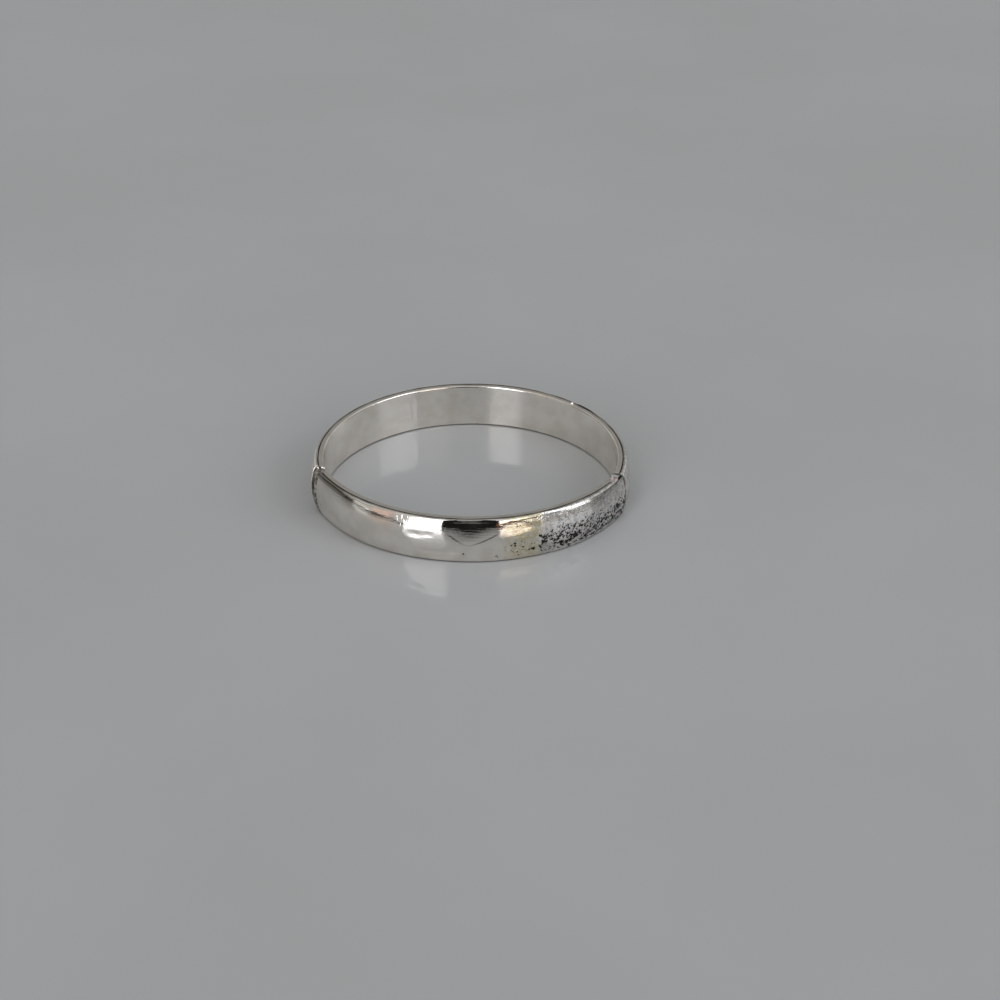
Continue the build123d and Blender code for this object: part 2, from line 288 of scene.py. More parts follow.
# ---- wear: waves, dents, pits ----
def waves(seed, count, shortest, longest, slope):
    """Gentle unevenness of hand-raised sheet, as a sum of waves with about the same slope each."""
    draw = random.Random(seed)
    parts = []
    for _ in range(count):
        length = draw.uniform(shortest, longest)
        lean = draw.uniform(-1.2, 1.2)
        parts.append((length, math.cos(lean), math.sin(lean), draw.uniform(0, 2 * math.pi)))

    def height(s, z):
        total = 0
        for length, along, up, phase in parts:
            total = total + slope * length / (2 * math.pi) * np.sin(
                2 * math.pi * (s * along + z * up) / length + phase)
        return total / math.sqrt(count)

    return height


def smooth(value, low, high):
    t = np.clip((value - low) / (high - low), 0, 1)
    return t * t * (3 - 2 * t)


def hollow(angles, z, radius, dent):
    """Depth of one dent: angle, height, half length and half height of its outline, and depth."""
    angle, middle, along, up, depth = dent
    s = (angles - math.radians(angle)) * radius / along
    t = (z - middle) / up
    inside = np.clip(1 - s * s, 0, 1) ** 2 * np.clip(1 - t * t, 0, 1) ** 2
    return depth * inside


def crease(angles, z, radius):
    """Depth of the step along the V, which fades out at the V's two ends."""
    s = (angles - math.radians(CREASE_ANGLE)) * radius
    share = np.abs(s) / np.where(s < 0, CREASE_LEFT, CREASE_RIGHT)
    bottom = CREASE_LOW + CREASE_RISE * share ** 1.35
    fade = (1 - smooth(share, 0.75, 1.1)) * (1 - smooth(z, HEIGHT * 0.6, HEIGHT * 0.9))
    return CREASE_STEP * smooth(z - bottom, 0, CREASE_WIDTH) * fade


def pit_field(arc, pits, angles, z):
    """Depth and darkness of the pits, each an angle in radians, height, radius, depth and darkness."""
    depth = np.zeros(angles.shape)
    dark = np.zeros(angles.shape)
    radius = arc.radius + THICKNESS
    middle = angles[:, angles.shape[1] // 4]
    for angle, height, size, sink, tone in pits:
        rows = np.abs(middle - angle) * radius < 3 * size
        if not rows.any():
            continue
        off = ((angles[rows] - angle) * radius / size) ** 2 + ((z[rows] - height) / size) ** 2
        depth[rows] = np.maximum(depth[rows], sink * np.clip(1 - off, 0, 1))
        dark[rows] = np.maximum(dark[rows], tone * np.clip(1.5 - off, 0, 1))
    return depth, np.clip(dark, 0, 1)


def patch_pits(seed, start, end, count):
    """Corrosion pits: clusters that are larger, darker and closer together towards the lower rim."""
    draw = random.Random(seed)
    pits = []
    while len(pits) < count:
        angle = draw.uniform(start, end)
        height = draw.uniform(*PIT_HEIGHTS) * MM
        lower = 1 - smooth(height, *PIT_CROWD)
        if draw.random() > PITS_ABOVE + (1 - PITS_ABOVE) * lower:
            continue
        size = draw.uniform(0.08, 0.14 + 0.12 * lower) * MM
        tone = draw.uniform(0.35, 0.65) + 0.5 * lower
        for _ in range(draw.randint(1, 3)):
            around = draw.gauss(0, 0.25 * MM)
            pits.append((math.radians(angle) + around / back.radius, height + draw.gauss(0, 0.2 * MM),
                         size * draw.uniform(0.6, 1.1), size * 0.35, tone))
    return pits


def dome_share(section):
    """1 on the shell's outside, -1 in its channel, fading out across the rims."""
    share = np.zeros(len(section))
    channel = len(section) - CHANNEL_POINTS - 2
    xs = section[:channel, 0]
    share[:channel] = smooth(xs, LINER + GROOVE_LAND, RIM)
    share[channel + 1:-1] = -smooth(section[channel + 1:-1, 0], LINER + GROOVE_LAND, RIM)
    return share


def seam_share(section):
    """1 in the seam's groove, fading out over the rim beside it."""
    off = section[:, 0] - LINER
    near = np.minimum(section[:, 1], HEIGHT - section[:, 1]) < GROOVE_DEPTH * 1.5
    return np.where(near, 1 - smooth(off, 0.8 * GROOVE_WIDTH, 2.0 * GROOVE_WIDTH), 0.0)


def shoulder_share(section):
    """1 on the upper rim and the dome's top, outside the seam."""
    return smooth(section[:, 1], HEIGHT - 1.0 * MM, HEIGHT - 0.6 * MM)


def foot_share(section):
    """1 where the lower rim turns under, fading out just above it."""
    return 1 - smooth(section[:, 1], 0.12 * MM, FOOT_SHADE_HEIGHT)


# number of waves, shortest and longest one, and slope
LARGE_WAVES = (9, 9 * MM, 26 * MM, 0.034)
SMALL_WAVES = (12, 2.2 * MM, 6 * MM, 0.012)
SEAM_WAVES = (7, 1.5 * MM, 9 * MM, 0.05)
RIM_WAVES = (9, 3 * MM, 14 * MM, 0.03)
LINER_WAVES = (9, 6 * MM, 22 * MM, 0.02)
SOLDER_WAVES = (8, 0.3 * MM, 0.7 * MM, 0.35)

# V-shaped crease under the deep dent
CREASE_ANGLE = -90.6
CREASE_LOW = 4.0 * MM
CREASE_RISE = 2.5 * MM
CREASE_LEFT = 4.0 * MM
CREASE_RIGHT = 6.1 * MM
CREASE_WIDTH = 0.4 * MM
CREASE_STEP = 0.06 * MM

# angle, height, half length, half height and depth of each dent
DEEP_DENT = (-90.0, 8.9 * MM, 6.0 * MM, 4.9 * MM, 0.43 * MM)
# where the deep dent has pulled the waves out of the sheet, with their lost share in the depth's place
CALM = (*DEEP_DENT[:2], 9 * MM, 7 * MM, 0.9)
FRONT_DENTS = [
    DEEP_DENT,
    (-107.6, 5.9 * MM, 2.4 * MM, 0.95 * MM, 0.12 * MM),
    (-103.2, 6.1 * MM, 1.4 * MM, 0.8 * MM, 0.08 * MM),
    (-120.0, 9.0 * MM, 9.0 * MM, 3.2 * MM, 0.05 * MM),
    (-75.0, 7.3 * MM, 3.4 * MM, 1.5 * MM, 0.07 * MM),
    (-72.0, 5.4 * MM, 2.6 * MM, 1.3 * MM, 0.05 * MM),
    (-143.0, 7.6 * MM, 3.0 * MM, 2.4 * MM, 0.06 * MM),
]


# seed, first and last angle, and number of the front half's pits
FRONT_PITS = [
    (3, PATCH_START, -27.0, 1050),
    (9, -84.0, PATCH_START, 34),
    (15, -158.0, -149.0, 24),
]
BACK_PITS = (5, CLASP_ANGLE, PATCH_END, 60)
PIT_HEIGHTS = (0.9, 8.5)                # in millimetres
PIT_CROWD = (4.0 * MM, 6.8 * MM)        # pits are crowded below the first height and sparse above the second
PITS_ABOVE = 0.14                       # share of the sparse ones

BACK_SHELL_SEED = 21
FRONT_SHELL_SEED = 925
BACK_LINER_SEED = 41
FRONT_LINER_SEED = 43
SOLDER_SEED = 77


def shell_detail(arc, section, dents, pits, seed, gap=None):
    outer_radius = arc.radius + THICKNESS
    share = dome_share(section)
    seam = seam_share(section)
    foot = foot_share(section)
    shoulder = shoulder_share(section)
    top = smooth(section[:, 1], HEIGHT - 0.3 * MM, HEIGHT)
    roll_large = waves(seed, *LARGE_WAVES)
    roll_small = waves(seed + 1, *SMALL_WAVES)
    seam_wave = waves(seed + 2, *SEAM_WAVES)
    rim_roll = waves(seed + 3, *RIM_WAVES)

    def detail(angles, xs, zs, normals):
        s = angles * outer_radius
        outer = np.maximum(share, 0)
        roll = -roll_large(s, zs) - roll_small(s, zs)
        if DEEP_DENT in dents:
            roll = roll * (1 - hollow(angles, zs, outer_radius, CALM)) + crease(angles, zs, outer_radius)
        depth, dark = pit_field(arc, pits, angles, zs)
        sink = (roll + depth) * outer
        for dent in dents:
            sink = sink + hollow(angles, zs, outer_radius, dent) * share
        shift_x = -sink * normals[:, 0]
        shift_z = -sink * normals[:, 1] * (zs < HEIGHT - RIM_SOFTENING) * (zs > RIM_SOFTENING)
        shift_z = shift_z - np.abs(rim_roll(s, xs)) * top
        on_rim = np.where((xs > LINER * 1.01) & (share >= 0), np.clip((RIM - xs) / (RIM - LINER), 0, 1), 0)
        shift_x = shift_x + on_rim * seam_wave(s, zs)
        if gap is not None:
            degrees = np.degrees(angles)
            start, end = gap
            opened = smooth(degrees, start, start + GAP_TAPER) * (1 - smooth(degrees, end - 1, end))
            shift_x = shift_x + on_rim * (zs > HEIGHT / 2) * opened * GAP_WIDTH
        return shift_x, shift_z, {
            "pits": dark * outer,
            "seam": np.broadcast_to(seam, angles.shape),
            "foot": np.broadcast_to(foot, angles.shape),
            "shoulder": np.broadcast_to(shoulder, angles.shape),
            "arc_angle": np.degrees(angles),
        }

    return detail


# upright ripples in the back half's liner, given as dents are
LINER_RIPPLES = [
    (113.6, 5.2 * MM, 0.9 * MM, 3.6 * MM, 0.05 * MM),
    (117.0, 6.0 * MM, 0.7 * MM, 2.4 * MM, 0.03 * MM),
    (144.7, 4.6 * MM, 0.9 * MM, 3.6 * MM, 0.05 * MM),
    (62.0, 4.4 * MM, 1.4 * MM, 3.2 * MM, 0.04 * MM),
]


def liner_detail(arc, section, seed, ripples=()):
    seam = np.where(section[:, 0] > LINER - 0.9 * SEAM_SOFTENING, 1.0, 0.0)
    foot = foot_share(section)
    roll = waves(seed, *LINER_WAVES)
    rim_roll = waves(seed + 1, *RIM_WAVES)
    inner = section[:, 0] < 0.2 * LINER
    top = smooth(section[:, 1], HEIGHT - INNER_SOFTENING, HEIGHT)

    def detail(angles, xs, zs, normals):
        s = angles * arc.radius
        sink = np.abs(roll(s, zs)) * 0.6
        for ripple in ripples:
            sink = sink + hollow(angles, zs, arc.radius, ripple)
        return sink * inner, -np.abs(rim_roll(s, xs)) * top, {
            "seam": np.broadcast_to(seam, angles.shape),
            "foot": np.broadcast_to(foot, angles.shape),
            "arc_angle": np.degrees(angles),
        }

    return detail


def cut(obj, cutter):
    """Take the cutter's solid out of obj, and delete the cutter."""
    change = obj.modifiers.new("cut", "BOOLEAN")
    change.object = cutter
    change.operation = "DIFFERENCE"
    change.solver = "EXACT"
    bpy.context.view_layer.update()
    shaped = bpy.data.meshes.new_from_object(obj.evaluated_get(bpy.context.evaluated_depsgraph_get()))
    obj.modifiers.clear()
    obj.data = shaped
    bpy.data.objects.remove(cutter)


def solid(name, outline, low, high, place):
    """Prism with an outline in its own x and y, from low to high along z."""
    made = bmesh.new()
    verts = [made.verts.new((x, y, low)) for x, y in outline]
    face = made.faces.new(verts)
    top = bmesh.ops.extrude_face_region(made, geom=[face])
    moved = [v for v in top["geom"] if isinstance(v, bmesh.types.BMVert)]
    bmesh.ops.translate(made, verts=moved, vec=(0, 0, high - low))
    bmesh.ops.recalc_face_normals(made, faces=made.faces)
    mesh = bpy.data.meshes.new(name)
    made.to_mesh(mesh)
    made.free()
    mesh.transform(place)
    return linked(name, mesh)


def notch_cutter():
    """The notch's space, in the joint's frame: x outward, y along the band, with its far corner rounded."""
    outward = clasp_point - np.array(front[:2])
    turned = math.atan2(outward[1], outward[0])
    steps = np.linspace(0, math.pi / 2, 7)
    corner = [(NOTCH_OUTER - NOTCH_ROUND + NOTCH_ROUND * math.cos(t),
               -NOTCH_LENGTH + NOTCH_ROUND - NOTCH_ROUND * math.sin(t)) for t in steps]
    outline = [(-CUT_PAST, -NOTCH_LENGTH), (-CUT_PAST, CUT_PAST), (NOTCH_OUTER, CUT_PAST), *corner]
    place = Matrix.Translation((*clasp_point, 0)) @ Matrix.Rotation(turned, 4, "Z")
    return solid("notch", outline, NOTCH_FLOOR, HEIGHT + CUT_PAST, place)


def vent_cutter():
    outward = turn(VENT_ANGLE)
    centre = np.array(front[:2]) + outward * (front.radius + THICKNESS)
    steps = np.linspace(0, 2 * math.pi, 20, endpoint=False)
    outline = [(VENT_RADIUS * math.cos(t), VENT_RADIUS * math.sin(t)) for t in steps]
    along = Vector((*outward, 0)).to_track_quat("Z", "Y").to_matrix().to_4x4()
    place = Matrix.Translation((*centre, VENT_HEIGHT)) @ along
    return solid("vent", outline, -3 * WALL, 3 * WALL, place)


def back_shell():
    section = shell_section(RIM_SOFTENING)
    clasp_side = [past(clasp_point, to_back, HALF_GAP + END_PLATE)]
    starts = trimmed(back, section[:, 0], clasp_side, *BACK_CLASP_SEARCH)
    hinge_side = [past(hinge_point, -to_front, HINGE_SETBACK + HINGE_PLATE), clear_of_barrel]
    ends = trimmed(back, section[:, 0], hinge_side, *BACK_HINGE_SEARCH)

    def spacing(degrees):
        return PIT_STEP if degrees < PATCH_END + 2 else PLAIN_SHELL_STEP

    pits = patch_pits(*BACK_PITS)
    shares = stations(back, starts.mean(), ends.mean(), spacing)
    detail = shell_detail(back, section, [], pits, BACK_SHELL_SEED, (GAP_START, GAP_END))
    return sweep("back_shell_worn", back, section, starts, ends, shares, detail)


def front_shell():
    section = shell_section(FRONT_RIM_SOFTENING)
    hinge_side = [past(hinge_point, to_front, HINGE_SETBACK + HINGE_PLATE), clear_of_barrel]
    starts = trimmed(front, section[:, 0], hinge_side, *FRONT_HINGE_SEARCH)
    clasp_side = [past(clasp_point, -to_back, HALF_GAP + END_PLATE)]
    ends = trimmed(front, section[:, 0], clasp_side, *FRONT_CLASP_SEARCH)

    def spacing(degrees):
        return PIT_STEP if degrees > STAIN_START - 1 else SHELL_STEP

    pits = [pit for seed, start, end, count in FRONT_PITS for pit in patch_pits(seed, start, end, count)]
    shares = stations(front, starts.mean(), ends.mean(), spacing)
    detail = shell_detail(front, section, FRONT_DENTS, pits, FRONT_SHELL_SEED)
    made = sweep("front_shell_worn", front, section, starts, ends, shares, detail)
    cut(made, notch_cutter())
    cut(made, vent_cutter())
    return made


def back_liner():
    section = liner_section(INNER_SOFTENING)
    clasp_side = [past(clasp_point, to_back, HALF_GAP + END_PLATE)]
    starts = trimmed(back, section[:, 0], clasp_side, *BACK_CLASP_SEARCH)
    hinge_side = [past(hinge_point, -to_front, LINER_SETBACK), clear_of_barrel]
    ends = trimmed(back, section[:, 0], hinge_side, *BACK_HINGE_SEARCH)
    shares = stations(back, starts.mean(), ends.mean(), lambda degrees: LINER_STEP)
    detail = liner_detail(back, section, BACK_LINER_SEED, LINER_RIPPLES)
    return sweep("back_liner_worn", back, section, starts, ends, shares, detail)


def front_liner():
    section = liner_section(FRONT_INNER_SOFTENING)
    hinge_side = [past(hinge_point, to_front, LINER_SETBACK), clear_of_barrel]
    starts = trimmed(front, section[:, 0], hinge_side, *FRONT_LINER_SEARCH)
    clasp_side = [past(clasp_point, -to_back, HALF_GAP + END_PLATE)]
    ends = trimmed(front, section[:, 0], clasp_side, *FRONT_CLASP_SEARCH)
    shares = stations(front, starts.mean(), ends.mean(), lambda degrees: FRONT_LINER_STEP)
    detail = liner_detail(front, section, FRONT_LINER_SEED)
    made = sweep("front_liner_worn", front, section, starts, ends, shares, detail)
    cut(made, notch_cutter())
    return made


def solder_blob():
    """The drop of solder on the back half's upper rim: a low lump, flat underneath."""
    low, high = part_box("solder_bead")
    centre = (low + high) / 2
    made = bmesh.new()
    bmesh.ops.create_icosphere(made, subdivisions=4, radius=(high.x - low.x) / 2)
    lumps = waves(SOLDER_SEED, *SOLDER_WAVES)
    for v in made.verts:
        lump = float(lumps(np.float64(v.co.x + v.co.y), np.float64(v.co.z - v.co.y)))
        v.co += v.co.normalized() * lump * SOLDER_ROUGHNESS
        v.co.z = max(v.co.z, -SOLDER_SINK)
    mesh = bpy.data.meshes.new("solder_blob")
    made.to_mesh(mesh)
    made.free()
    mesh.shade_smooth()
    mesh.transform(Matrix.Translation((centre.x, centre.y, low.z)))
    return linked("solder_blob", mesh)


# ---- materials ----
NOISE_ROUGHNESS = 0.55


class Finish:
    """A node material with one Principled shader, built from the object's own coordinates."""

    def __init__(self, name, metallic=1.0):
        self.material = bpy.data.materials.new(name)
        self.material.use_nodes = True
        self.tree = self.material.node_tree
        self.shader = self.tree.nodes["Principled BSDF"]
        self.shader.inputs["Metallic"].default_value = metallic
        self.place = self.add("ShaderNodeTexCoord").outputs["Object"]

    def add(self, kind, **settings):
        node = self.tree.nodes.new(kind)
        for key, value in settings.items():
            setattr(node, key, value)
        return node

    def join(self, source, target):
        if isinstance(source, bpy.types.NodeSocket):
            self.tree.links.new(source, target)
        else:
            target.default_value = source

    def noise(self, scale, detail=4.0, stretch=(1, 1, 1)):
        """Noise with features of about 1/scale of a metre, longer along an axis with a small stretch."""
        mapping = self.add("ShaderNodeMapping")
        mapping.inputs["Scale"].default_value = stretch
        self.join(self.place, mapping.inputs["Vector"])
        made = self.add("ShaderNodeTexNoise")
        made.inputs["Scale"].default_value = scale
        made.inputs["Detail"].default_value = detail
        made.inputs["Roughness"].default_value = NOISE_ROUGHNESS
        self.join(mapping.outputs["Vector"], made.inputs["Vector"])
        return made.outputs["Fac"]

    def given(self, name):
        """One of the mesh's own attributes."""
        return self.add("ShaderNodeAttribute", attribute_name=name).outputs["Fac"]

    def between(self, value, low, high, out_low=0.0, out_high=1.0):
        """Smooth step of a value from low to high."""
        made = self.add("ShaderNodeMapRange", interpolation_type="SMOOTHSTEP")
        sockets = ("From Min", "From Max", "To Min", "To Max")
        for socket, amount in zip(sockets, (low, high, out_low, out_high)):
            made.inputs[socket].default_value = amount
        self.join(value, made.inputs["Value"])
        return made.outputs["Result"]

    def combine(self, kind, a, b):
        """What a maths node makes of two values."""
        made = self.add("ShaderNodeMath", operation=kind)
        self.join(a, made.inputs[0])
        self.join(b, made.inputs[1])
        return made.outputs[0]

    def blend(self, share, a, b):
        """Colour between a and b."""
        made = self.add("ShaderNodeMix", data_type="RGBA")
        self.join(share, made.inputs["Factor"])
        for socket, colour in ((made.inputs[6], a), (made.inputs[7], b)):
            self.join((*colour, 1.0) if isinstance(colour, tuple) else colour, socket)
        return made.outputs[2]

    def relief(self, height, distance):
        made = self.add("ShaderNodeBump")
        made.inputs["Distance"].default_value = distance
        self.join(height, made.inputs["Height"])
        self.join(made.outputs["Normal"], self.shader.inputs["Normal"])

    def colour(self, value):
        self.join(value, self.shader.inputs["Base Color"])

    def rough(self, value):
        self.join(value, self.shader.inputs["Roughness"])


SILVER = (0.90, 0.862, 0.808)
SILVER_SHADE = (0.79, 0.752, 0.69)
OLIVE = (0.66, 0.60, 0.42)
PATCH_GREY = (0.47, 0.48, 0.49)
OXIDE = (0.035, 0.031, 0.03)
SEAM_DIRT = (0.055, 0.048, 0.04)
SHOULDER_PAINTED_REFLECTION = (0.36, 0.335, 0.29)
HINGE_STAIN = (0.46, 0.41, 0.36)
FOOT_PAINTED_SHADE = (0.16, 0.145, 0.125)
LINER_SILVER = (0.925, 0.883, 0.828)
LINER_SHADE = (0.84, 0.79, 0.72)
LINER_SPOT = (0.45, 0.33, 0.22)
PART_SILVER = (0.86, 0.83, 0.78)
PART_TARNISH = (0.20, 0.175, 0.145)
STRIP_SILVER = (0.78, 0.76, 0.72)
STRIP_SHADE = (0.52, 0.48, 0.42)
TAB_SILVER = (0.90, 0.93, 0.97)
TAB_SHADE = (0.36, 0.36, 0.35)
SOLDER_BRIGHT = (0.94, 0.93, 0.91)
SOLDER_DULL = (0.66, 0.62, 0.55)
FLOOR_DARK = (0.43, 0.44, 0.44)
FLOOR_LIGHT = (0.45, 0.46, 0.465)
FLOOR_IOR = 1.24


def scratches(finish):
    """Fine wear lines: three crossing sets, the longest along the band."""
    along = finish.between(finish.noise(2600, 2, (0.12, 0.12, 1.0)), 0.45, 0.62)
    leaning = finish.between(finish.noise(1900, 2, (1.0, 0.1, 0.35)), 0.5, 0.66)
    upright = finish.between(finish.noise(1500, 2, (0.7, 1.0, 0.08)), 0.52, 0.7)
    return finish.combine("ADD", along, finish.combine("ADD", leaning, upright))


def shell_material():
    f = Finish("worn_silver_shell")
    angle = f.given("arc_angle")
    pits = f.given("pits")
    seam = f.given("seam")
    cloud = f.between(f.noise(240, 5), 0.35, 0.7)
    ragged = f.combine("MULTIPLY", f.combine("SUBTRACT", f.noise(900, 3), 0.5), 9.0)
    edge = f.combine("ADD", angle, ragged)
    in_patch = f.combine("MULTIPLY", f.between(edge, PATCH_START - 0.6, PATCH_START + 0.6),
                         f.between(edge, PATCH_END + 4, PATCH_END - 4))
    stained = f.combine("MULTIPLY", f.between(edge, STAIN_START, STAIN_START + 8),
                        f.between(edge, PATCH_START + 1.5, PATCH_START - 1.5))
    base = f.blend(cloud, SILVER, SILVER_SHADE)
    stain_spots = f.combine("MULTIPLY", stained, f.between(f.noise(1100, 4), 0.38, 0.62, 0.35, 1.0))
    base = f.blend(stain_spots, base, OLIVE)
    mottle = f.combine("MULTIPLY", in_patch, f.between(f.noise(1300, 4), 0.42, 0.62, 0.1, 0.8))
    base = f.blend(mottle, base, PATCH_GREY)
    fine = f.combine("MULTIPLY", in_patch, f.between(f.noise(3000, 3), 0.57, 0.70, 0.0, 0.8))
    grime = f.combine("MAXIMUM", f.between(pits, 0.1, 0.75), fine)
    base = f.blend(grime, base, OXIDE)
    hinge_end = f.combine("MULTIPLY", f.between(angle, HINGE_STAIN_END + 4, HINGE_STAIN_END - 6),
                          f.between(f.noise(800, 4), 0.42, 0.62, 0.0, 0.7))
    base = f.blend(hinge_end, base, HINGE_STAIN)
    # painted dark reflection on the upper shoulder, from the hinge end to here
    tarnish_and_painted_reflection = f.combine("MULTIPLY", f.given("shoulder"), f.between(edge, PAINTED_REFLECTION_END + 6, PAINTED_REFLECTION_END - 4))
    base = f.blend(tarnish_and_painted_reflection, base, SHOULDER_PAINTED_REFLECTION)
    base = f.blend(f.between(seam, 0.2, 0.9), base, SEAM_DIRT)
    # painted contact shade along the lower rim, where it meets the floor
    base = f.blend(f.between(f.given("foot"), 0.1, 0.9), base, FOOT_PAINTED_SHADE)
    f.colour(base)
    worn = f.between(f.noise(420, 4), 0.3, 0.75, 0.03, 0.10)
    worn = f.combine("ADD", worn, f.combine("MULTIPLY", in_patch, 0.11))
    worn = f.combine("ADD", worn, f.combine("MULTIPLY", stain_spots, 0.1))
    f.rough(f.combine("ADD", worn, f.combine("MULTIPLY", grime, 0.3)))
    rugged = f.combine("MULTIPLY", f.noise(2300, 4), f.combine("MULTIPLY", in_patch, 8.0))
    f.relief(f.combine("ADD", scratches(f), rugged), 0.004 * MM)
    return f.material


def liner_material():
    f = Finish("worn_silver_liner")
    seam = f.given("seam")
    cloud = f.between(f.noise(300, 5), 0.35, 0.7)
    base = f.blend(cloud, LINER_SILVER, LINER_SHADE)
    spots = f.between(f.noise(700, 3), 0.70, 0.76, 0.0, 0.6)
    base = f.blend(spots, base, LINER_SPOT)
    base = f.blend(f.between(seam, 0.2, 0.9), base, SEAM_DIRT)
    # painted contact shade along the liner's lower edge, where it meets the floor
    f.colour(f.blend(f.between(f.given("foot"), 0.1, 0.9), base, FOOT_PAINTED_SHADE))
    f.rough(f.between(f.noise(500, 4), 0.3, 0.75, 0.10, 0.2))
    f.relief(scratches(f), 0.005 * MM)
    return f.material


def small_silver_material():
    f = Finish("tarnished_silver_parts")
    tarnish_and_painted_reflection = f.between(f.noise(1300, 5), 0.34, 0.60)
    f.colour(f.blend(tarnish_and_painted_reflection, PART_SILVER, PART_TARNISH))
    f.rough(f.between(tarnish_and_painted_reflection, 0, 1, 0.16, 0.42))
    f.relief(scratches(f), 0.006 * MM)
    return f.material


def strip_material():
    f = Finish("drawn_silver_strip")
    drawn = f.noise(3500, 3, (1.0, 0.06, 1.0))
    f.colour(f.blend(f.between(drawn, 0.3, 0.7), STRIP_SILVER, STRIP_SHADE))
    f.rough(f.between(drawn, 0.3, 0.7, 0.2, 0.38))
    f.relief(drawn, 0.004 * MM)
    return f.material


def tab_material():
    f = Finish("rubbed_silver_tab")
    rubbed = f.between(f.noise(1600, 4), 0.38, 0.66)
    f.colour(f.blend(rubbed, TAB_SILVER, TAB_SHADE))
    f.rough(f.between(rubbed, 0, 1, 0.08, 0.3))
    f.relief(scratches(f), 0.006 * MM)
    return f.material


def solder_material():
    f = Finish("bright_solder")
    skin = f.noise(3000, 4)
    f.colour(f.blend(f.between(skin, 0.4, 0.65), SOLDER_BRIGHT, SOLDER_DULL))
    f.rough(f.between(skin, 0.3, 0.7, 0.08, 0.28))
    f.relief(skin, 0.01 * MM)
    return f.material


def floor_material():
    f = Finish("pale_floor", metallic=0.0)
    cloud = f.noise(9, 4)
    f.colour(f.blend(f.between(cloud, 0.3, 0.7), FLOOR_DARK, FLOOR_LIGHT))
    f.rough(f.between(f.noise(30, 4), 0.3, 0.7, 0.08, 0.13))
    f.shader.inputs["IOR"].default_value = FLOOR_IOR
    return f.material


# ---- pieces on their bodies ----
def piece(obj, body, material, slot, *nodes):
    obj.data.materials.clear()
    obj.data.materials.append(material)
    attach(obj, body)
    if nodes:
        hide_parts(*nodes)


shell_finish = shell_material()
liner_finish = liner_material()
piece(back_shell(), "back_half", shell_finish, "polished_shell", "back_shell")
piece(front_shell(), "front_half", shell_finish, "polished_shell", "front_shell")
piece(back_liner(), "back_half", liner_finish, "liner", "back_liner")
piece(front_liner(), "front_half", liner_finish, "liner", "front_liner")
piece(solder_blob(), "back_half", solder_material(), "solder", "solder_bead")

CAD_FINISHES = [
    (small_silver_material(), "hinge_and_plates",
     ("back_hinge_plate", "back_catch_plate", "hinge_knuckle_lower", "hinge_knuckle_middle",
      "hinge_knuckle_upper", "hinge_pin", "front_hinge_plate", "front_clasp_plate")),
    (strip_material(), "spring_strip", ("tongue_base", "spring_leaf")),
    (tab_material(), "thumb_tab", ("thumb_tab",)),
]
for material, slot, names in CAD_FINISHES:
    for name in names:
        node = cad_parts[name]
        node.data.materials.clear()
        node.data.materials.append(material)

# ---- floor ----
FLOOR_RADIUS = 2.2
made = bmesh.new()
bmesh.ops.create_circle(made, cap_ends=True, segments=96, radius=FLOOR_RADIUS)
floor_mesh = bpy.data.meshes.new("floor")
made.to_mesh(floor_mesh)
made.free()
floor = linked("floor", floor_mesh)
floor.data.materials.append(floor_material())


# ---- the room, seen only as light and reflections ----
def room():
    """Soft grey room with two windows, darker where the viewer stands, as soft-edged patches of sky."""
    world = bpy.data.worlds.new("room")
    bpy.context.scene.world = world
    world.use_nodes = True
    tree = world.node_tree
    add = tree.nodes.new
    direction = add("ShaderNodeTexCoord").outputs["Generated"]
    split = add("ShaderNodeSeparateXYZ")
    tree.links.new(direction, split.inputs[0])

    def math_node(kind, a, b=None):
        node = add("ShaderNodeMath")
        node.operation = kind
        for socket, value in zip(node.inputs, (a, b)):
            if isinstance(value, bpy.types.NodeSocket):
                tree.links.new(value, socket)
            elif value is not None:
                socket.default_value = value
        return node.outputs[0]

    def step(value, low, high):
        node = add("ShaderNodeMapRange")
        node.interpolation_type = "SMOOTHSTEP"
        tree.links.new(value, node.inputs["Value"])
        node.inputs["From Min"].default_value = low
        node.inputs["From Max"].default_value = high
        return node.outputs["Result"]

    degree = math.degrees(1)
    rise_angle = math_node("MULTIPLY", math_node("ARCSINE", split.outputs["Z"]), degree)
    heading = math_node("MULTIPLY", math_node("ARCTAN2", split.outputs["Y"], split.outputs["X"]), degree)

    def patch(azimuth, width, low, high, soft):
        """Share of a direction that is inside a patch of the room."""
        off = math_node("ABSOLUTE", math_node("SUBTRACT", heading, azimuth))
        turned = math_node("ABSOLUTE", math_node("SUBTRACT", 360.0, off))
        off = math_node("MINIMUM", off, turned)
        across = step(off, width / 2 + soft / 2, width / 2 - soft / 2)
        above = step(rise_angle, low - soft / 2, low + soft / 2)
        below = step(rise_angle, high + soft / 2, high - soft / 2)
        return math_node("MULTIPLY", across, math_node("MULTIPLY", above, below))

    def paint(under, share, colour):
        node = add("ShaderNodeMix")
        node.data_type = "RGBA"
        tree.links.new(share, node.inputs["Factor"])
        if isinstance(under, tuple):
            node.inputs[6].default_value = (*under, 1)
        else:
            tree.links.new(under, node.inputs[6])
        node.inputs[7].default_value = (*colour, 1)
        return node.outputs[2]

    look = paint(WALLS, step(rise_angle, 8, 60), CEILING)
    for colour, region in ROOM:
        look = paint(look, patch(*region), colour)
    background = tree.nodes["Background"]
    tree.links.new(look, background.inputs["Color"])
    background.inputs["Strength"].default_value = 1.0


WALLS = (0.445, 0.44, 0.425)
CEILING = (0.705, 0.71, 0.715)
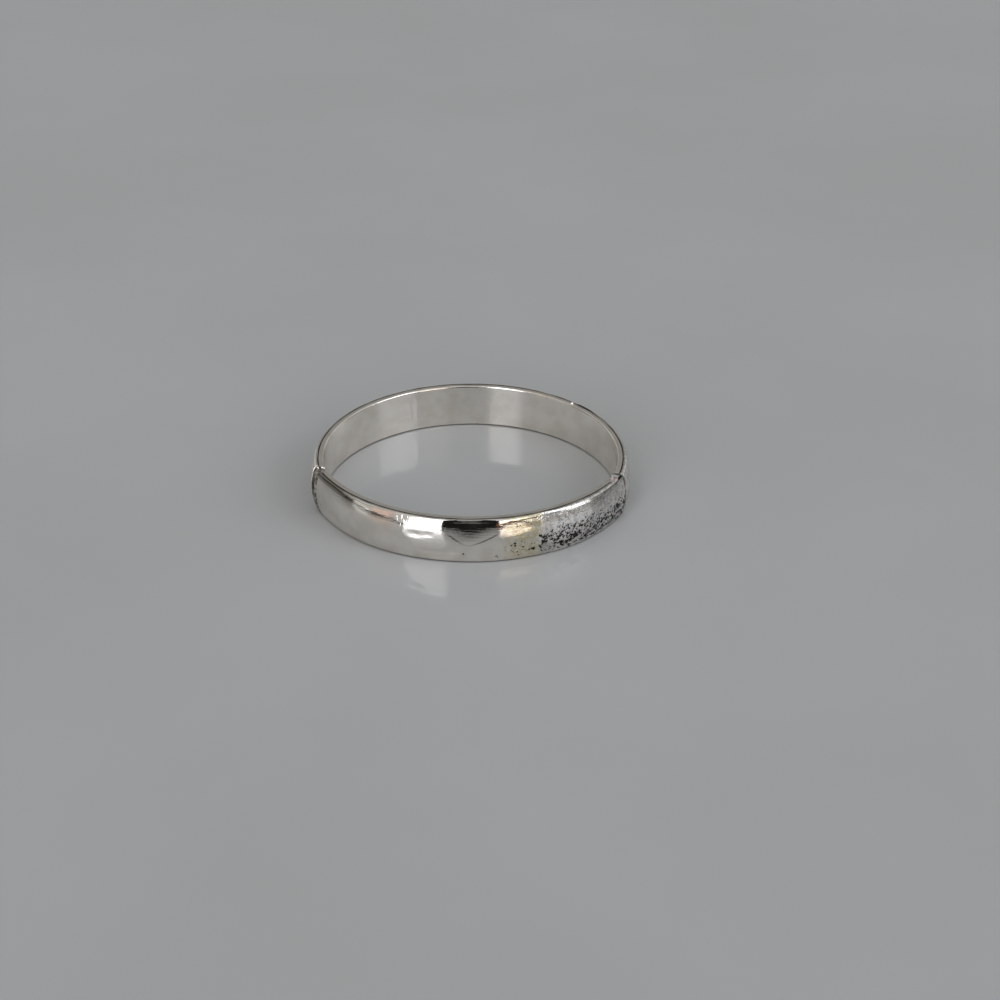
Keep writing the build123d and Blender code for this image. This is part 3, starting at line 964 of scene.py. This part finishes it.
# colour, then azimuth from +X, width, lowest and highest elevation and edge softness, in degrees
ROOM = [
    ((0.42, 0.40, 0.365), (178.0, 74.0, 1.0, 70.0, 14.0)),     # warm wall on the left
    ((0.12, 0.118, 0.11), (157.0, 26.0, 1.0, 60.0, 10.0)),     # its dark corner
    ((0.53, 0.54, 0.55), (42.0, 34.0, 2.0, 50.0, 14.0)),       # pale wall on the right
    ((0.25, 0.25, 0.245), (90.0, 44.0, 8.0, 60.0, 10.0)),      # wall behind
    ((0.62, 0.48, 0.42), (-146.0, 14.0, 2.0, 40.0, 5.0)),      # curtain beside the left window
    ((0.80, 0.80, 0.78), (-164.0, 18.0, 0.0, 9.0, 5.0)),       # light on the wall's foot
    ((0.07, 0.064, 0.055), (174.0, 30.0, 0.0, 13.0, 6.0)),     # low dark cupboard on the left
    ((0.010, 0.0095, 0.0095), (-88.0, 34.0, 0.0, 75.0, 3.0)),  # the dark figure in front
    ((0.20, 0.075, 0.04), (-66.0, 26.0, 0.0, 6.0, 3.0)),       # dark wood
    ((3.5, 3.15, 2.75), (-61.0, 20.0, 5.5, 20.0, 4.0)),        # light on it
    ((0.13, 0.12, 0.13), (7.0, 26.0, 0.0, 13.0, 6.0)),         # dark corner on the right
    ((0.02, 0.018, 0.016), (0.0, 360.0, -3.0, 2.0, 1.5)),      # dark line along the floor's edge
    ((0.02, 0.018, 0.016), (-175.0, 76.0, -3.0, 2.5, 1.2)),    # wider on the left
    ((2.4, 2.45, 2.6), (-27.0, 32.0, 9.0, 44.0, 4.0)),         # right window
    ((9.0, 9.2, 9.6), (-33.0, 18.0, 34.0, 37.0, 2.0)),         # sky at its top
    ((3.4, 3.45, 3.6), (-117.5, 25.0, -2.0, 46.0, 3.0)),       # left window
    ((8.5, 8.7, 9.0), (-117.0, 32.0, 53.5, 56.5, 2.0)),        # fanlight above it
]


room()

# ---- camera ----
LENS = 72.0
SENSOR = 36.0
CAMERA_ELEVATION = 30.05
CAMERA_DISTANCE = 403.9 * MM
CAMERA_ROLL = math.radians(0.235)
LOOK_AT = Vector((5.93, -5.08, 0.0)) * MM

tilt = math.radians(CAMERA_ELEVATION)
backward = Vector((0, -math.cos(tilt), math.sin(tilt)))
right = Vector((1, 0, 0))
up = backward.cross(right)
rolled_right = right * math.cos(CAMERA_ROLL) + up * math.sin(CAMERA_ROLL)
rolled_up = up * math.cos(CAMERA_ROLL) - right * math.sin(CAMERA_ROLL)
camera_data = bpy.data.cameras.new("camera")
camera_data.lens = LENS
camera_data.sensor_width = SENSOR
camera_data.clip_start = 10 * MM
camera_data.clip_end = 20.0
camera = bpy.data.objects.new("camera", camera_data)
camera.matrix_world = Matrix.Translation(LOOK_AT + backward * CAMERA_DISTANCE) @ Matrix(
    (rolled_right, rolled_up, backward)).transposed().to_4x4()
bpy.context.scene.collection.objects.link(camera)
bpy.context.scene.camera = camera
bpy.context.scene.view_settings.view_transform = "Standard"
